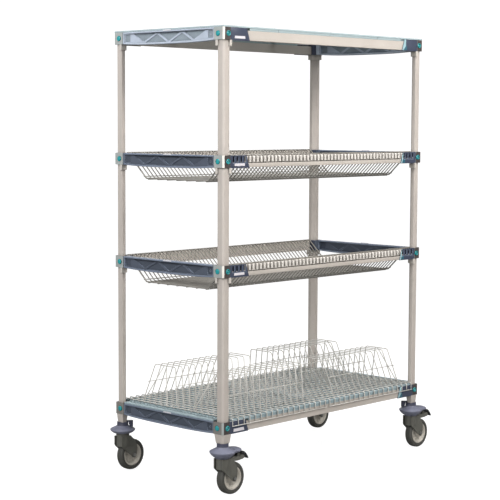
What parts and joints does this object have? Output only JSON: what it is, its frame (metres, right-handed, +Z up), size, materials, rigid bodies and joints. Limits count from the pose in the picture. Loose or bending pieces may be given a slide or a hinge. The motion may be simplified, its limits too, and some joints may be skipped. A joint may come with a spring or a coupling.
{
  "type": "wire shelf cart",
  "caption": "Tall wheeled storage cart with a solid top shelf, drop-in wire basket shelves, a base shelf with tray racks, quick-release corners and braked front swivel casters.",
  "frame": {"origin": "on the floor, under the middle of the overall box; the centre of the post and shelf frame is at X -0.03575", "axes": "+X along the long side, +Y from the front to the back, +Z up; every caster trails towards +X at rest"},
  "size_m": [1.3504, 0.682, 1.7916],
  "materials": {
    "taupe": "satin",
    "clip": "matt",
    "slate": "satin",
    "collar": "satin",
    "teal": "gloss",
    "bumper": "matt",
    "steel": "satin",
    "mat": "matt",
    "wire": "satin",
    "fork": "matt",
    "hub": "satin",
    "tread": "matt",
    "pedal": "satin"
  },
  "bodies": {
    "frame": {"post_front_left": "taupe", "post_front_right": "taupe", "post_rear_left": "taupe", "post_rear_right": "taupe", "base_end_rails": "slate", "lower_end_rails": "slate", "upper_end_rails": "slate", "top_end_rails": "slate", "base_side_beams": "taupe", "basket_side_beams": "taupe", "top_side_beams": "taupe", "corner_collars": "collar", "post_wedges": "clip", "foot_sleeves": "taupe", "rear_bumpers": "bumper", "caster_stems": "steel", "top_shelf_mats": "mat", "base_shelf_mats": "mat"},
    "caster_front_left": {"caster_fork_front_left": "fork", "caster_axle_front_left": "steel", "caster_cover_front_left": "bumper"},
    "wheel_front_left": {"wheel_hub_front_left": "hub", "wheel_tyre_front_left": "tread"},
    "pedal_front_left": {"brake_pedal_front_left": "pedal"},
    "caster_front_right": {"caster_fork_front_right": "fork", "caster_axle_front_right": "steel", "caster_cover_front_right": "bumper"},
    "wheel_front_right": {"wheel_hub_front_right": "hub", "wheel_tyre_front_right": "tread"},
    "pedal_front_right": {"brake_pedal_front_right": "pedal"},
    "caster_rear_left": {"caster_fork_rear_left": "fork", "caster_axle_rear_left": "steel"},
    "wheel_rear_left": {"wheel_hub_rear_left": "hub", "wheel_tyre_rear_left": "tread"},
    "caster_rear_right": {"caster_fork_rear_right": "fork", "caster_axle_rear_right": "steel"},
    "wheel_rear_right": {"wheel_hub_rear_right": "hub", "wheel_tyre_rear_right": "tread"},
    "release_base_front_left_body": {"release_base_front_left": "teal"},
    "release_base_front_right_body": {"release_base_front_right": "teal"},
    "release_base_rear_left_body": {"release_base_rear_left": "teal"},
    "release_base_rear_right_body": {"release_base_rear_right": "teal"},
    "release_lower_front_left_body": {"release_lower_front_left": "teal"},
    "release_lower_front_right_body": {"release_lower_front_right": "teal"},
    "release_lower_rear_left_body": {"release_lower_rear_left": "teal"},
    "release_lower_rear_right_body": {"release_lower_rear_right": "teal"},
    "release_upper_front_left_body": {"release_upper_front_left": "teal"},
    "release_upper_front_right_body": {"release_upper_front_right": "teal"},
    "release_upper_rear_left_body": {"release_upper_rear_left": "teal"},
    "release_upper_rear_right_body": {"release_upper_rear_right": "teal"},
    "release_top_front_left_body": {"release_top_front_left": "teal"},
    "release_top_front_right_body": {"release_top_front_right": "teal"},
    "release_top_rear_left_body": {"release_top_rear_left": "teal"},
    "release_top_rear_right_body": {"release_top_rear_right": "teal"},
    "lower_basket": {"lower_basket_rods": "wire", "lower_basket_wires": "wire"},
    "upper_basket": {"upper_basket_rods": "wire", "upper_basket_wires": "wire"},
    "rack_left": {"tray_rack_left": "wire"},
    "rack_right": {"tray_rack_right": "wire"}
  },
  "joints": [
    {"name": "swivel_front_left", "type": "hinge", "parent": "frame", "child": "caster_front_left", "pos_m": [-0.62375, -0.2895, 0.14], "axis": [0, 0, 1], "continuous": true},
    {"name": "roll_front_left", "type": "hinge", "parent": "caster_front_left", "child": "wheel_front_left", "pos_m": [-0.58175, -0.2895, 0.0635], "axis": [0, 1, 0], "continuous": true},
    {"name": "brake_front_left", "type": "hinge", "parent": "caster_front_left", "child": "pedal_front_left", "pos_m": [-0.54975, -0.2895, 0.151], "axis": [0, 1, 0], "range_deg": [0, 12]},
    {"name": "swivel_front_right", "type": "hinge", "parent": "frame", "child": "caster_front_right", "pos_m": [0.55225, -0.2895, 0.14], "axis": [0, 0, 1], "continuous": true},
    {"name": "roll_front_right", "type": "hinge", "parent": "caster_front_right", "child": "wheel_front_right", "pos_m": [0.59425, -0.2895, 0.0635], "axis": [0, 1, 0], "continuous": true},
    {"name": "brake_front_right", "type": "hinge", "parent": "caster_front_right", "child": "pedal_front_right", "pos_m": [0.62625, -0.2895, 0.151], "axis": [0, 1, 0], "range_deg": [0, 12]},
    {"name": "swivel_rear_left", "type": "hinge", "parent": "frame", "child": "caster_rear_left", "pos_m": [-0.62375, 0.2895, 0.14], "axis": [0, 0, 1], "continuous": true},
    {"name": "roll_rear_left", "type": "hinge", "parent": "caster_rear_left", "child": "wheel_rear_left", "pos_m": [-0.58175, 0.2895, 0.0635], "axis": [0, 1, 0], "continuous": true},
    {"name": "swivel_rear_right", "type": "hinge", "parent": "frame", "child": "caster_rear_right", "pos_m": [0.55225, 0.2895, 0.14], "axis": [0, 0, 1], "continuous": true},
    {"name": "roll_rear_right", "type": "hinge", "parent": "caster_rear_right", "child": "wheel_rear_right", "pos_m": [0.59425, 0.2895, 0.0635], "axis": [0, 1, 0], "continuous": true},
    {"name": "squeeze_base_front_left", "type": "slide", "parent": "frame", "child": "release_base_front_left_body", "axis": [0.7071, 0.7071, 0], "range_m": [0, 0.002]},
    {"name": "squeeze_base_front_right", "type": "slide", "parent": "frame", "child": "release_base_front_right_body", "axis": [-0.7071, 0.7071, 0], "range_m": [0, 0.002]},
    {"name": "squeeze_base_rear_left", "type": "slide", "parent": "frame", "child": "release_base_rear_left_body", "axis": [0.7071, -0.7071, 0], "range_m": [0, 0.002]},
    {"name": "squeeze_base_rear_right", "type": "slide", "parent": "frame", "child": "release_base_rear_right_body", "axis": [-0.7071, -0.7071, 0], "range_m": [0, 0.002]},
    {"name": "squeeze_lower_front_left", "type": "slide", "parent": "frame", "child": "release_lower_front_left_body", "axis": [0.7071, 0.7071, 0], "range_m": [0, 0.002]},
    {"name": "squeeze_lower_front_right", "type": "slide", "parent": "frame", "child": "release_lower_front_right_body", "axis": [-0.7071, 0.7071, 0], "range_m": [0, 0.002]},
    {"name": "squeeze_lower_rear_left", "type": "slide", "parent": "frame", "child": "release_lower_rear_left_body", "axis": [0.7071, -0.7071, 0], "range_m": [0, 0.002]},
    {"name": "squeeze_lower_rear_right", "type": "slide", "parent": "frame", "child": "release_lower_rear_right_body", "axis": [-0.7071, -0.7071, 0], "range_m": [0, 0.002]},
    {"name": "squeeze_upper_front_left", "type": "slide", "parent": "frame", "child": "release_upper_front_left_body", "axis": [0.7071, 0.7071, 0], "range_m": [0, 0.002]},
    {"name": "squeeze_upper_front_right", "type": "slide", "parent": "frame", "child": "release_upper_front_right_body", "axis": [-0.7071, 0.7071, 0], "range_m": [0, 0.002]},
    {"name": "squeeze_upper_rear_left", "type": "slide", "parent": "frame", "child": "release_upper_rear_left_body", "axis": [0.7071, -0.7071, 0], "range_m": [0, 0.002]},
    {"name": "squeeze_upper_rear_right", "type": "slide", "parent": "frame", "child": "release_upper_rear_right_body", "axis": [-0.7071, -0.7071, 0], "range_m": [0, 0.002]},
    {"name": "squeeze_top_front_left", "type": "slide", "parent": "frame", "child": "release_top_front_left_body", "axis": [0.7071, 0.7071, 0], "range_m": [0, 0.002]},
    {"name": "squeeze_top_front_right", "type": "slide", "parent": "frame", "child": "release_top_front_right_body", "axis": [-0.7071, 0.7071, 0], "range_m": [0, 0.002]},
    {"name": "squeeze_top_rear_left", "type": "slide", "parent": "frame", "child": "release_top_rear_left_body", "axis": [0.7071, -0.7071, 0], "range_m": [0, 0.002]},
    {"name": "squeeze_top_rear_right", "type": "slide", "parent": "frame", "child": "release_top_rear_right_body", "axis": [-0.7071, -0.7071, 0], "range_m": [0, 0.002]},
    {"name": "lift_out_lower_basket", "type": "slide", "parent": "frame", "child": "lower_basket", "axis": [0, 0, 1], "range_m": [0, 0.15]},
    {"name": "lift_out_upper_basket", "type": "slide", "parent": "frame", "child": "upper_basket", "axis": [0, 0, 1], "range_m": [0, 0.15]},
    {"name": "lift_out_rack_left", "type": "slide", "parent": "frame", "child": "rack_left", "axis": [0, 0, 1], "range_m": [0, 0.15]},
    {"name": "lift_out_rack_right", "type": "slide", "parent": "frame", "child": "rack_right", "axis": [0, 0, 1], "range_m": [0, 0.15]}
  ]
}
